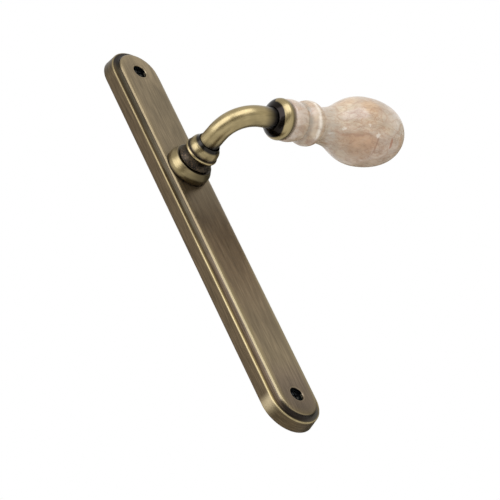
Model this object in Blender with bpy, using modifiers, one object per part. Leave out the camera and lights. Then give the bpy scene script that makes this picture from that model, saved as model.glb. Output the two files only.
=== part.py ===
"""Door lever handle on a long two-tier backplate, with a turned stone grip.

Frame: the origin is on the lever's turning axis, in the plane of the door face.
+X runs from the axis towards the grip, +Z is up and +Y goes into the door, so
the handle stands out of the door towards -Y.  Heights above the door face are
written h in the comments, with y = -h.
"""

import math

import bmesh
import bpy
from mathutils import Matrix

MM = 0.001

# ---- driving dimensions, in millimetres -------------------------------------
CLEAR = 0.32                 # gap left between two pieces that touch

PLATE_LENGTH = 250.2
PLATE_WIDTH = 33.5
PLATE_CENTRE_Z = -40.3       # the lever sits above the middle of the plate
BASE_TIER_H = 7.15           # top of the lower tier
BASE_DRAFT = 0.85            # its wall leans in by this much towards the top
TIER_INSET = 4.2             # how far the upper tier stands in from the back edge
PLATE_H = 10.1               # outer face of the plate
WALL = 2.2
POCKET_H = 5.6               # hollow under the lower tier
POCKET_TOP_H = 7.7           # hollow under the upper tier
FIXING_PITCH = 216.6         # between the two fixing screws
FIXING_CENTRE_Z = -40.1
HEAD_HOLE_R = 4.0
HEAD_SEAT_H = 6.0
SHANK_HOLE_R = 2.4
SCREW_PITCH = 1.7
SCREW_TIP_H = -8.4           # the fixing screws end this far inside the door
BOSS_R = 6.4
COVER_BOSS_R = 3.4
COVER_SCREW_Z = 24.0
NECK_BORE_R = 10.15
COLLAR_TOP_H = 17.0

SHAFT_R = 7.3                # turning shaft of the neck
SHAFT_END_H = 1.5
SOCKET_SIDE = 8.2            # takes a square spindle of 8 mm
SOCKET_TOP_H = 19.2
FLAT_HALF = 6.65             # half the width across the shaft's two flats
CLIP_GROOVE_R = 6.75
NECK_TOP_H = 31.4

ROD_R = 5.7
ROD_LEAN = 0.3               # the bar stands this far off the axis, away from the grip
ROD_BORE_R = 6.35
ROD_FOOT_H = 21.8
BEND_START_H = 38.6
BEND_REACH = 18.6            # how far the bend carries the bar outwards along X
BEND_POWER = 2.25            # 2 would be an ellipse, more is squarer
GRIP_H = 55.1                # height of the grip's axis
GRIP_DROOP_DEG = 0.3         # the grip hangs this little below square
ROD_END_X = 30.6
FERRULE_FRONT_X = 25.6
FERRULE_BACK_X = 32.8
FERRULE_BORE_R = 6.05

STUD_R = 3.0
STUD_START_X = 21.4
STUD_END_X = 86.0
WASHER_END_X = 33.8
STONE_START_X = 34.12
STONE_END_X = 118.3
STONE_BORE_R = 5.4
STONE_BORE_END_X = 90.0
BULB_X = 90.0                # the widest place of the bulb
BULB_R = 19.0
BULB_POWER = 2.27            # the far half is a little fuller than an ellipse

COVER_H0 = 1.2
COVER_H1 = 2.1
COVER_WIDTH = 26.2
COVER_LENGTH = 62.0

CAM_H0 = 4.12
CAM_H1 = 5.3
CAM_R = 10.5
LUG_R = 12.9
LUG_HALF = 2.0
STOP_R = 11.9                # radius of the circle the stop pins stand on
PIN_R = 1.0
TRAVEL_DEG = 45.0

SPRING_R0 = 9.5              # the coil starts wide, on the cam, and closes in
SPRING_R1 = 8.1
SPRING_WIRE_R = 0.34
SPRING_H0 = 5.97
SPRING_H1 = 6.95
SPRING_LEG_H = 7.3
SPRING_TURNS = 2
LEG_X = 5.6                  # the spring's far leg lies beside the anchor pin
LEG_END_Z = 17.5

STEPS = 36                   # facets round a turned piece

# ---- scene ------------------------------------------------------------------
for old in list(bpy.data.objects):
    bpy.data.objects.remove(old, do_unlink=True)

handle = bpy.data.collections.new("door_lever_handle")
bpy.context.scene.collection.children.link(handle)
cutters = bpy.data.collections.new("cutters")
bpy.context.scene.collection.children.link(cutters)

# ---- materials --------------------------------------------------------------
ANTIQUE_BRASS = ((0.25, 0.19, 0.10, 1.0), 1.0, 0.34)
DARK_BRASS = ((0.10, 0.08, 0.05, 1.0), 1.0, 0.42)
STEEL = ((0.42, 0.42, 0.43, 1.0), 1.0, 0.35)
SPRING_STEEL = ((0.20, 0.21, 0.23, 1.0), 1.0, 0.30)
NYLON = ((0.75, 0.73, 0.68, 1.0), 0.0, 0.50)
FIBRE = ((0.10, 0.07, 0.05, 1.0), 0.0, 0.80)
MARBLE = ((0.72, 0.62, 0.53, 1.0), 0.0, 0.18)


def dress(ob, look):
    """Give the object a material of its own."""
    colour, metallic, roughness = look
    mat = bpy.data.materials.new(ob.name + "_material")
    mat.use_nodes = True
    shader = mat.node_tree.nodes["Principled BSDF"]
    shader.inputs["Base Color"].default_value = colour
    shader.inputs["Metallic"].default_value = metallic
    shader.inputs["Roughness"].default_value = roughness
    mat.diffuse_color = colour
    ob.data.materials.clear()
    ob.data.materials.append(mat)


def smooth(ob, angle=35.0):
    ob.data.shade_smooth()
    ob.data.set_sharp_from_angle(angle=math.radians(angle))


def add(name, mesh, collection):
    ob = bpy.data.objects.new(name, mesh)
    collection.objects.link(ob)
    return ob


def hide_cutter(ob):
    ob.hide_render = True
    ob.display_type = "WIRE"
    return ob


def out_of_door(ob, x=0.0, z=0.0):
    """Stand a piece drawn along local Z on the door face, height h along local Z."""
    ob.rotation_euler = (math.radians(90.0), 0.0, 0.0)
    ob.location = (x * MM, 0.0, z * MM)
    return ob


def along_grip(ob):
    """Lay a piece drawn along local Z on the grip's axis, local Z to +X."""
    droop = math.radians(GRIP_DROOP_DEG)
    ob.rotation_euler = (0.0, math.radians(90.0) + droop, 0.0)
    pivot = FERRULE_FRONT_X * MM
    ob.location = (pivot * (1.0 - math.cos(droop)), -GRIP_H * MM, pivot * math.sin(droop))
    return ob


def arc_points(cx, cz, radius, start_deg, end_deg, count):
    """Points on an arc of a profile, in its radius and height."""
    points = []
    for i in range(count):
        a = math.radians(start_deg + (end_deg - start_deg) * i / (count - 1))
        points.append((cx + radius * math.cos(a), cz + radius * math.sin(a)))
    return points


def turned(name, profile, closed, collection=handle, steps=STEPS):
    """A turned piece: the profile (radius, height) swept round local Z.

    The profile runs down the outer side, top to bottom.  A closed profile comes
    back up the bore, and an open one starts and ends on the axis.
    """
    mesh = bpy.data.meshes.new(name)
    verts = [(r * MM, 0.0, h * MM) for r, h in profile]
    edges = [(i, i + 1) for i in range(len(verts) - 1)]
    if closed:
        edges.append((len(verts) - 1, 0))
    mesh.from_pydata(verts, edges, [])
    ob = add(name, mesh, collection)
    screw = ob.modifiers.new("turn", "SCREW")
    screw.axis = "Z"
    screw.angle = 2.0 * math.pi
    screw.steps = steps
    screw.render_steps = steps
    screw.use_merge_vertices = True
    screw.merge_threshold = 0.00001
    screw.use_smooth_shade = True
    return ob


def ring(name, inner, outer, h0, h1, collection=handle, steps=STEPS):
    profile = [(inner, h1), (outer, h1), (outer, h0), (inner, h0)]
    return turned(name, profile, True, collection, steps)


def rod(name, radius, h0, h1, collection=handle, steps=24):
    """A plain round bar drawn along local Z."""
    mesh = bpy.data.meshes.new(name)
    bm = bmesh.new()
    bmesh.ops.create_cone(
        bm,
        cap_ends=True,
        cap_tris=False,
        segments=steps,
        radius1=radius * MM,
        radius2=radius * MM,
        depth=(h1 - h0) * MM,
        matrix=Matrix.Translation((0.0, 0.0, (h0 + h1) * 0.5 * MM)),
    )
    bm.to_mesh(mesh)
    bm.free()
    return add(name, mesh, collection)


def block(name, size, centre, collection=handle):
    mesh = bpy.data.meshes.new(name)
    bm = bmesh.new()
    place = Matrix.Translation([c * MM for c in centre])
    scale = Matrix.Diagonal([s * MM for s in size] + [1.0])
    bmesh.ops.create_cube(bm, size=1.0, matrix=place @ scale)
    bm.to_mesh(mesh)
    bm.free()
    return add(name, mesh, collection)


def curve_to_mesh(curve_ob, name, collection):
    """Turn a curve object into a mesh object with its caps welded."""
    bpy.context.view_layer.update()
    graph = bpy.context.evaluated_depsgraph_get()
    mesh = bpy.data.meshes.new_from_object(curve_ob.evaluated_get(graph))
    mesh.name = name
    bm = bmesh.new()
    bm.from_mesh(mesh)
    bmesh.ops.remove_doubles(bm, verts=bm.verts, dist=0.000002)
    bmesh.ops.recalc_face_normals(bm, faces=bm.faces)
    bm.to_mesh(mesh)
    bm.free()
    ob = add(name, mesh, collection)
    ob.matrix_world = curve_ob.matrix_world.copy()
    bpy.data.objects.remove(curve_ob, do_unlink=True)
    return ob


def outline(name, points, h0, h1, collection):
    """A flat outline, drawn in (x, z), made a solid between heights h0 and h1."""
    curve = bpy.data.curves.new(name + "_outline", "CURVE")
    curve.dimensions = "2D"
    curve.fill_mode = "BOTH"
    curve.extrude = (h1 - h0) * 0.5 * MM
    spline = curve.splines.new("POLY")
    spline.points.add(len(points) - 1)
    for point, (x, z) in zip(spline.points, points):
        point.co = (x * MM, z * MM, 0.0, 1.0)
    spline.use_cyclic_u = True
    curve_ob = add(name + "_outline", curve, collection)
    curve_ob.rotation_euler = (math.radians(90.0), 0.0, 0.0)
    curve_ob.location = (0.0, -(h0 + h1) * 0.5 * MM, 0.0)
    return curve_to_mesh(curve_ob, name, collection)


def stadium(width, length, centre_z, count=14):
    """A strip with round ends, as points in (x, z)."""
    radius = width * 0.5
    straight = length * 0.5 - radius
    points = []
    for i in range(count + 1):
        a = math.pi * i / count
        points.append((radius * math.cos(a), centre_z + straight + radius * math.sin(a)))
    for i in range(count + 1):
        a = math.pi + math.pi * i / count
        points.append((radius * math.cos(a), centre_z - straight + radius * math.sin(a)))
    return points


def boolean(ob, other, operation):
    mod = ob.modifiers.new(operation.lower() + "_" + other.name, "BOOLEAN")
    mod.operation = operation
    mod.solver = "EXACT"
    mod.object = other
    hide_cutter(other)
    return ob


# ---- the empty that the moving pieces hang on -------------------------------
lever_axis = bpy.data.objects.new("lever_axis", None)
lever_axis.empty_display_size = 0.02
handle.objects.link(lever_axis)
moving = []

# ---- backplate: a forged shell of two tiers, hollow behind ------------------
tier_width = PLATE_WIDTH - 2.0 * TIER_INSET
tier_length = PLATE_LENGTH - 2.0 * TIER_INSET


def lofted_strip(name, levels, collection):
    """A solid through outlines of the same point count, one at each height."""
    mesh = bpy.data.meshes.new(name)
    bm = bmesh.new()
    rings = []
    for h, points in levels:
        rings.append([bm.verts.new((x * MM, -h * MM, z * MM)) for x, z in points])
    bm.faces.new(rings[0])
    bm.faces.new(rings[-1])
    for lower, upper in zip(rings, rings[1:]):
        for i in range(len(lower)):
            j = (i + 1) % len(lower)
            bm.faces.new((lower[i], lower[j], upper[j], upper[i]))
    bmesh.ops.recalc_face_normals(bm, faces=bm.faces)
    bm.to_mesh(mesh)
    bm.free()
    return add(name, mesh, collection)


def plate_outline(inset):
    """The plate's outline, moved in from the back edge."""
    width = PLATE_WIDTH - 2.0 * inset
    length = PLATE_LENGTH - 2.0 * inset
    return stadium(width, length, PLATE_CENTRE_Z, 18)


backplate = lofted_strip(
    "backplate",
    [(0.0, plate_outline(0.0)), (BASE_TIER_H, plate_outline(BASE_DRAFT))],
    handle,
)
# the upper tier has a filed edge all round its face
upper_tier = lofted_strip(
    "upper_tier",
    [
        (BASE_TIER_H - 2.6, plate_outline(TIER_INSET)),
        (PLATE_H - 0.8, plate_outline(TIER_INSET)),
        (PLATE_H, plate_outline(TIER_INSET + 0.7)),
    ],
    cutters,
)
boolean(backplate, upper_tier, "UNION")

lower_pocket = outline(
    "lower_pocket",
    stadium(
        PLATE_WIDTH - 2.0 * (BASE_DRAFT + WALL),
        PLATE_LENGTH - 2.0 * (BASE_DRAFT + WALL),
        PLATE_CENTRE_Z,
        12,
    ),
    -2.0,
    POCKET_H,
    cutters,
)
upper_pocket = outline(
    "upper_pocket",
    stadium(tier_width - 2.0 * WALL, tier_length - 2.0 * WALL, PLATE_CENTRE_Z, 12),
    -1.0,
    POCKET_TOP_H,
    cutters,
)
boolean(backplate, lower_pocket, "DIFFERENCE")
boolean(backplate, upper_pocket, "DIFFERENCE")

fixing_z = (
    ("top", FIXING_CENTRE_Z + FIXING_PITCH * 0.5),
    ("bottom", FIXING_CENTRE_Z - FIXING_PITCH * 0.5),
)
cover_z = (("upper", COVER_SCREW_Z), ("lower", -COVER_SCREW_Z))

for label, z in fixing_z:
    boss = out_of_door(rod("boss_" + label, BOSS_R, 0.0, 8.8, cutters), z=z)
    boolean(backplate, boss, "UNION")
for label, z in cover_z:
    boss = out_of_door(
        rod("cover_boss_" + label, COVER_BOSS_R, COVER_H1 + CLEAR, 8.8, cutters, 16), z=z
    )
    boolean(backplate, boss, "UNION")
for label, z in fixing_z:
    shank_hole = out_of_door(
        rod("shank_hole_" + label, SHANK_HOLE_R, -3.0, 14.0, cutters, 20), z=z
    )
    head_hole = out_of_door(
        rod("head_hole_" + label, HEAD_HOLE_R, HEAD_SEAT_H, 15.0, cutters, 28), z=z
    )
    boolean(backplate, shank_hole, "DIFFERENCE")
    boolean(backplate, head_hole, "DIFFERENCE")
for label, z in cover_z:
    tapped = out_of_door(rod("tapped_hole_" + label, 1.85, 1.0, 7.2, cutters, 14), z=z)
    boolean(backplate, tapped, "DIFFERENCE")
neck_bore = out_of_door(rod("neck_bore", NECK_BORE_R, -4.0, 16.0, cutters, STEPS))
boolean(backplate, neck_bore, "DIFFERENCE")
smooth(backplate)
dress(backplate, ANTIQUE_BRASS)

# ---- bearing collar: the stepped ring the neck turns in ---------------------
collar_profile = [(8.85, COLLAR_TOP_H), (10.35, COLLAR_TOP_H), (10.8, 16.8)]
collar_profile += arc_points(8.98, 12.75, 3.5, 55.0, 0.0, 5)
collar_profile += [
    (12.48, PLATE_H + CLEAR),
    (9.8, PLATE_H + CLEAR),
    (9.8, POCKET_TOP_H + 0.1),
    (8.85, POCKET_TOP_H + 0.1),
]
bearing_collar = out_of_door(turned("bearing_collar", collar_profile, True))
dress(bearing_collar, ANTIQUE_BRASS)

bearing_bush = out_of_door(ring("bearing_bush", SHAFT_R + 0.35, 8.5, 8.0, 16.6))
dress(bearing_bush, NYLON)

thrust_washer = out_of_door(
    ring("thrust_washer", SHAFT_R + 0.35, 9.3, COLLAR_TOP_H + CLEAR, 17.72)
)
dress(thrust_washer, STEEL)

# ---- neck hub: bead and torus above a dark recess, shaft and socket below ---
neck_profile = [(ROD_BORE_R, NECK_TOP_H), (6.5, 31.1), (6.75, 30.4), (7.1, 29.8)]
# the band, nearly straight, over a narrow groove
neck_profile += [(7.6, 29.3), (8.05, 28.7), (8.35, 28.0), (8.6, 27.0), (8.8, 26.0)]
neck_profile += [(8.9, 25.4), (8.75, 25.0), (8.55, 24.8), (8.75, 24.55)]
# the bead
neck_profile += [(9.2, 24.35), (9.45, 24.0), (9.45, 23.6), (9.25, 23.1), (8.95, 22.8)]
# the hollow above the collar
neck_profile += [(8.8, 22.0), (8.75, 21.0), (8.9, 20.0), (9.2, 19.0), (9.7, 18.05)]
neck_profile += [
    (SHAFT_R, 18.05),
    (SHAFT_R, 3.5),
    (CLIP_GROOVE_R, 3.5),
    (CLIP_GROOVE_R, 2.2),
    (SHAFT_R, 2.2),
    (SHAFT_R, SHAFT_END_H),
    (0.0, SHAFT_END_H),
]
neck_profile = [(0.0, 21.4), (ROD_BORE_R, 21.4)] + neck_profile
neck_hub = out_of_door(turned("neck_hub", neck_profile, False))
socket = block(
    "square_socket",
    (SOCKET_SIDE, 24.0, SOCKET_SIDE),
    (0.0, -(SOCKET_TOP_H - 12.0), 0.0),
    cutters,
)
boolean(neck_hub, socket, "DIFFERENCE")
for side in (-1.0, 1.0):
    flat = block(
        "flat_" + ("left" if side < 0.0 else "right"),
        (4.0, 6.8, 20.0),
        (side * (FLAT_HALF + 2.0), -2.2, 0.0),
        cutters,
    )
    boolean(neck_hub, flat, "DIFFERENCE")
dress(neck_hub, ANTIQUE_BRASS)
moving.append(neck_hub)

# ---- lever arm: a round bar bent once, from the neck to the grip ------------
path = [(-ROD_LEAN, ROD_FOOT_H), (-ROD_LEAN, 30.0)]
for i in range(19):
    a = math.radians(90.0 * i / 18)
    out = 1.0 - abs(math.cos(a)) ** (2.0 / BEND_POWER)
    up = abs(math.sin(a)) ** (2.0 / BEND_POWER)
    x = (BEND_REACH + ROD_LEAN) * out - ROD_LEAN
    path.append((x, BEND_START_H + (GRIP_H - BEND_START_H) * up))
path += [(24.0, GRIP_H), (ROD_END_X, GRIP_H)]
arm_curve = bpy.data.curves.new("lever_arm_path", "CURVE")
arm_curve.dimensions = "3D"
arm_curve.bevel_depth = ROD_R * MM
arm_curve.bevel_resolution = 5
arm_curve.use_fill_caps = True
arm_spline = arm_curve.splines.new("POLY")
arm_spline.points.add(len(path) - 1)
for point, (x, h) in zip(arm_spline.points, path):
    point.co = (x * MM, -h * MM, 0.0, 1.0)
arm_ob = add("lever_arm_path", arm_curve, handle)
lever_arm = curve_to_mesh(arm_ob, "lever_arm", handle)
stud_hole = along_grip(rod("stud_hole", STUD_R + 0.35, STUD_START_X - 0.4, 40.0, cutters, 20))
boolean(lever_arm, stud_hole, "DIFFERENCE")
smooth(lever_arm)
dress(lever_arm, ANTIQUE_BRASS)
moving.append(lever_arm)

# ---- ferrule: flares from the bar to a half-round band ----------------------
# drawn from the stone back to the bar, so that local Z still points to the grip
ferrule_profile = [
    (STUD_R + 0.4, FERRULE_BACK_X),
    (10.5, FERRULE_BACK_X),
    (11.0, 32.3),
    (11.2, 31.6),
    (11.25, 30.9),
    (11.15, 30.1),
    (10.85, 29.3),
    (10.3, 28.5),
    (9.55, 27.7),
    (8.65, 27.0),
    (7.7, 26.4),
    (7.0, 26.0),
    (6.4, FERRULE_FRONT_X),
    (FERRULE_BORE_R, FERRULE_FRONT_X),
    (FERRULE_BORE_R, ROD_END_X + 0.35),
    (STUD_R + 0.4, ROD_END_X + 0.35),
]
grip_ferrule = along_grip(turned("grip_ferrule", ferrule_profile, True))
dress(grip_ferrule, ANTIQUE_BRASS)
moving.append(grip_ferrule)

fibre_washer = along_grip(ring("fibre_washer", STUD_R + 0.4, 10.3, FERRULE_BACK_X + CLEAR, WASHER_END_X))
dress(fibre_washer, FIBRE)
moving.append(fibre_washer)

# ---- stone grip: disc, bead, waist and pear-shaped bulb ---------------------
stone_profile = []
for i in range(14):
    a = math.radians(90.0 * i / 13)
    out = abs(math.cos(a)) ** (2.0 / BULB_POWER)
    r = BULB_R * math.sin(a) ** (2.0 / BULB_POWER)
    stone_profile.append((r, BULB_X + (STONE_END_X - BULB_X) * out))
stone_profile += [(18.85, 87.4), (18.45, 84.9)]
# the fall from the bulb to the waist
stone_profile += [(17.85, 82.5), (16.95, 80.0), (15.85, 77.6), (14.6, 75.1), (13.3, 72.6)]
stone_profile += [(12.1, 70.0), (11.15, 67.4), (10.5, 64.9), (10.1, 62.4), (9.9, 60.2)]
stone_profile += [(9.95, 58.4), (10.35, 56.6)]
# the bead, then the groove and the disc
for i in range(7):
    a = math.radians(32.0 + 112.0 * i / 6)
    stone_profile.append((8.55 + 3.75 * math.sin(a), 50.75 + 5.5 * math.cos(a)))
stone_profile += [(10.15, 44.9), (10.05, 44.2), (10.45, 43.2), (10.8, 41.6)]
stone_profile += [(11.15, 39.9), (11.38, 38.0), (11.4, 36.6), (11.25, 35.2)]
stone_profile += [(10.8, STONE_START_X)]
stone_profile += [(STONE_BORE_R, STONE_START_X), (STONE_BORE_R, STONE_BORE_END_X)]
stone_profile += [(0.0, STONE_BORE_END_X)]
stone_grip = along_grip(turned("stone_grip", stone_profile, False))
dress(stone_grip, MARBLE)
moving.append(stone_grip)

grip_insert = along_grip(ring("grip_insert", STUD_R + 0.35, 5.05, 34.5, 89.0, steps=20))
dress(grip_insert, DARK_BRASS)
moving.append(grip_insert)

stud_profile = [(0.0, STUD_END_X), (STUD_R - 0.6, STUD_END_X), (STUD_R, STUD_END_X - 0.8)]
for i in range(5):
    top = STUD_END_X - 2.0 - i * 1.6
    stud_profile += [(STUD_R, top), (STUD_R - 0.45, top - 0.5), (STUD_R, top - 1.0)]
stud_profile += [(STUD_R, STUD_START_X + 0.6), (STUD_R - 0.5, STUD_START_X)]
stud_profile += [(0.0, STUD_START_X)]
grip_stud = along_grip(turned("grip_stud", stud_profile, False, steps=14))
dress(grip_stud, STEEL)
moving.append(grip_stud)

# ---- circlip, wave washer and cam on the end of the shaft -------------------


def gapped_ring(name, inner, outer, gap_deg, h0, h1, count=20):
    """A ring with a gap at the top, as an outline."""
    half = math.radians(gap_deg * 0.5)
    points = []
    for i in range(count + 1):
        a = math.pi * 0.5 + half + (2.0 * math.pi - 2.0 * half) * i / count
        points.append((outer * math.cos(a), outer * math.sin(a)))
    for i in range(count + 1):
        a = math.pi * 0.5 - half - (2.0 * math.pi - 2.0 * half) * i / count
        points.append((inner * math.cos(a), inner * math.sin(a)))
    return outline(name, points, h0, h1, handle)


circlip = gapped_ring("circlip", CLIP_GROOVE_R + 0.35, 9.0, 70.0, 2.52, 3.18)
dress(circlip, SPRING_STEEL)
moving.append(circlip)

wave_washer = out_of_door(ring("wave_washer", SHAFT_R + 0.35, 9.9, 3.51, 3.79))
dress(wave_washer, SPRING_STEEL)
moving.append(wave_washer)

# cam: a flat ring with a stop lug below the axis and a hole for the spring
lug_start = math.asin(LUG_HALF / CAM_R)
cam_points = [(-LUG_HALF, -LUG_R), (LUG_HALF, -LUG_R)]
for i in range(29):
    a = -math.pi * 0.5 + lug_start + (2.0 * math.pi - 2.0 * lug_start) * i / 28
    cam_points.append((CAM_R * math.cos(a), CAM_R * math.sin(a)))
spring_cam = outline("spring_cam", cam_points, CAM_H0, CAM_H1, handle)
cam_bore = out_of_door(rod("cam_bore", SHAFT_R + 0.35, 2.0, 7.0, cutters, 32))
# the bore keeps two flats, so that the cam turns with the shaft
for side in (-1.0, 1.0):
    land = block(
        "cam_land_" + ("left" if side < 0.0 else "right"),
        (3.0, 8.0, 20.0),
        (side * (FLAT_HALF + CLEAR + 1.5), -4.5, 0.0),
        cutters,
    )
    boolean(cam_bore, land, "DIFFERENCE")
boolean(spring_cam, cam_bore, "DIFFERENCE")
cam_eye = out_of_door(
    rod("cam_eye", SPRING_WIRE_R + 0.35, 3.0, 7.0, cutters, 12),
    x=SPRING_R0,
    z=0.0,
)
boolean(spring_cam, cam_eye, "DIFFERENCE")
dress(spring_cam, STEEL)
moving.append(spring_cam)

# ---- return spring: a coil round the shaft, one leg in the cam --------------
spring_path = [(SPRING_R0, CAM_H0 + 0.2, 0.0), (SPRING_R0, SPRING_H0 - 0.3, 0.0)]
coil_points = 44
for i in range(1, coil_points + 1):
    t = i / coil_points
    a = 2.0 * math.pi * SPRING_TURNS * t
    r = SPRING_R0 + (SPRING_R1 - SPRING_R0) * t
    h = SPRING_H0 + (SPRING_H1 - SPRING_H0) * t
    spring_path.append((r * math.cos(a), h, r * math.sin(a)))
# the far leg leaves the coil upwards, bends inwards and lies beside the anchor pin
spring_path.append((SPRING_R1, SPRING_LEG_H - 0.15, 1.2))
spring_path.append((SPRING_R1 - 0.1, SPRING_LEG_H, 2.6))
spring_path.append((SPRING_R1 - 0.7, SPRING_LEG_H, 6.4))
spring_path.append((LEG_X + 0.7, SPRING_LEG_H, 10.2))
spring_path.append((LEG_X, SPRING_LEG_H, 12.6))
spring_path.append((LEG_X, SPRING_LEG_H, LEG_END_Z))
spring_curve = bpy.data.curves.new("return_spring_path", "CURVE")
spring_curve.dimensions = "3D"
spring_curve.bevel_depth = SPRING_WIRE_R * MM
spring_curve.bevel_resolution = 2
spring_curve.use_fill_caps = True
wire = spring_curve.splines.new("POLY")
wire.points.add(len(spring_path) - 1)
for point, (x, h, z) in zip(wire.points, spring_path):
    point.co = (x * MM, -h * MM, z * MM, 1.0)
spring_ob = add("return_spring_path", spring_curve, handle)
return_spring = curve_to_mesh(spring_ob, "return_spring", handle)
smooth(return_spring, 50.0)
dress(return_spring, SPRING_STEEL)

# the anchor pin stands beside the leg, on the side the leg presses towards
anchor_x = LEG_X + SPRING_WIRE_R + PIN_R + CLEAR
anchor_z = 15.0
spring_anchor_pin = out_of_door(
    rod("spring_anchor_pin", PIN_R, 4.5, POCKET_TOP_H - CLEAR, steps=16), anchor_x, anchor_z
)
smooth(spring_anchor_pin)
dress(spring_anchor_pin, STEEL)

# ---- end stops: two pins the cam's lug turns between ------------------------
stop_offset = math.asin((LUG_HALF + PIN_R + CLEAR + 0.03) / STOP_R)
rest_angle = -math.pi * 0.5 + stop_offset
lowered_angle = -math.pi * 0.5 - stop_offset - math.radians(TRAVEL_DEG)
for name, a in (("stop_pin_rest", rest_angle), ("stop_pin_lowered", lowered_angle)):
    pin = rod(name, PIN_R, COVER_H1 + CLEAR, 5.25, steps=16)
    out_of_door(pin, STOP_R * math.cos(a), STOP_R * math.sin(a))
    smooth(pin)
    dress(pin, STEEL)

# ---- cover that closes the spring chamber -----------------------------------
cassette_cover = outline(
    "cassette_cover", stadium(COVER_WIDTH, COVER_LENGTH, 0.0, 12), COVER_H0, COVER_H1, handle
)
cover_bore = out_of_door(rod("cover_bore", SHAFT_R + 0.6, -1.0, 5.0, cutters, 32))
boolean(cassette_cover, cover_bore, "DIFFERENCE")
for label, z in cover_z:
    hole = out_of_door(rod("cover_hole_" + label, 1.85, -1.0, 5.0, cutters, 14), z=z)
    boolean(cassette_cover, hole, "DIFFERENCE")
dress(cassette_cover, STEEL)

for label, z in cover_z:
    profile = [
        (0.0, 6.8),
        (1.0, 6.8),
        (1.5, 6.2),
        (1.5, 0.88),
        (2.7, 0.88),
        (2.7, 0.5),
        (2.3, 0.12),
        (0.0, 0.12),
    ]
    screw_ob = out_of_door(turned("cover_screw_" + label, profile, False, steps=16), z=z)
    dress(screw_ob, STEEL)

# ---- fixing screws: oval heads in deep seats, short threads in the door -----
for label, z in fixing_z:
    profile = [(0.0, 8.45), (1.5, 8.35), (2.8, 7.95), (3.6, 7.25), (3.62, 6.9)]
    profile += [(2.7, HEAD_SEAT_H + CLEAR), (2.0, HEAD_SEAT_H - 0.4), (2.0, 1.2)]
    for i in range(4):
        top = 0.8 - i * SCREW_PITCH
        profile += [(1.5, top), (2.0, top - 0.6), (1.5, top - 1.3)]
    profile += [(1.4, SCREW_TIP_H + 2.2), (0.0, SCREW_TIP_H)]
    screw_ob = out_of_door(turned("fixing_screw_" + label, profile, False, steps=14), z=z)
    for i, size in enumerate(((5.2, 4.0, 1.0), (1.0, 4.0, 5.2))):
        slot = block(
            "recess_" + label + "_" + str(i),
            size,
            (0.0, -(7.2 + 2.0), z),
            cutters,
        )
        boolean(screw_ob, slot, "DIFFERENCE")
    dress(screw_ob, DARK_BRASS)

# ---- the moving pieces hang on the axis empty -------------------------------
bpy.context.view_layer.update()
for ob in moving:
    world = ob.matrix_world.copy()
    ob.parent = lever_axis
    ob.matrix_parent_inverse = Matrix.Identity(4)
    ob.matrix_world = world
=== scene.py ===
"""The finished look of the door lever handle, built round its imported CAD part.

Heights out of the door are written h, with y = -h.
"""

import math
from types import SimpleNamespace

import bmesh
import bpy
from mathutils import Matrix, Vector


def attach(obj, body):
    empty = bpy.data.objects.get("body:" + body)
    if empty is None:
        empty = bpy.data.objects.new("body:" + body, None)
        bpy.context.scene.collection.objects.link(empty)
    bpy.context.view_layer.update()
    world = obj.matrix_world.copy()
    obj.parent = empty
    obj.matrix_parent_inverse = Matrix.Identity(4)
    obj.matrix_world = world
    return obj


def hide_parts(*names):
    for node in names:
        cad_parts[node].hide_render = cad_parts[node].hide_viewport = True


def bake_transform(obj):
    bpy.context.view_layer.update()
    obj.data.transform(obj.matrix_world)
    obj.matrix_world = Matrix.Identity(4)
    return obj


MM = 0.001

# ---- sizes shared with the CAD part -----------------------------------------
PLATE_LENGTH = 250.2
PLATE_WIDTH = 33.5
PLATE_CENTRE_Z = -40.3
# from the plate's middle to where each round end starts
PLATE_STRAIGHT = (PLATE_LENGTH - PLATE_WIDTH) * 0.5
SCREW_Z = {"top": 68.2, "bottom": -148.4}
SCREW_BOSS_R = 6.4
COVER_BOSS_Z = 24.0
COVER_BOSS_R = 3.4
COVER_TAP_R = 1.85
BOSS_TOP_H = 8.8
BORE_R = 10.15
SOCKET_WIDTH = 8.2
GRIP_H = 55.1
GRIP_DROOP_DEG = 0.3
ROD_R = 5.7
ROD_LEAN = 0.3
BEND_START_H = 38.6
BEND_REACH = 18.6
BEND_POWER = 2.25
STUD_HOLE_R = 3.35
FERRULE_FRONT_X = 25.6
BULB_X = 90.0
BULB_R = 19.0
BULB_END_X = 118.3
BULB_POWER = 2.27
STONE_BORE_R = 5.4
SCREW_R = 2.0
THREAD_PITCH = 1.7
SPRING_R0 = 9.5
SPRING_R1 = 8.1
SPRING_WIRE_R = 0.34
SPRING_FOOT_H = 4.32
SPRING_H0 = 5.97
SPRING_H1 = 6.95
SPRING_TURNS = 2

# ---- fineness of the meshes -------------------------------------------------
ROD_SIDES = 64
BEND_STEPS = 60
BULB_STEPS = 40
COIL_STEPS = 96
WIRE_SIDES = 10

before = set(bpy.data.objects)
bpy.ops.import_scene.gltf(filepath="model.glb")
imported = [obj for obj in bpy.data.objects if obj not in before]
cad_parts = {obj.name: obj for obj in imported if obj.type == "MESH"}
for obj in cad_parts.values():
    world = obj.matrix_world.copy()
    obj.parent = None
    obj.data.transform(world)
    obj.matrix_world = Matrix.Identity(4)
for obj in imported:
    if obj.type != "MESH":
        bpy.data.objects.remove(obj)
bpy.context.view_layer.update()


# ---- meshes -----------------------------------------------------------------
def smooth(mesh, sharp_deg=40.0):
    """Smooth shading that stops at edges sharper than the angle."""
    mesh.shade_smooth()
    mesh.set_sharp_from_angle(angle=math.radians(sharp_deg))


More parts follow.
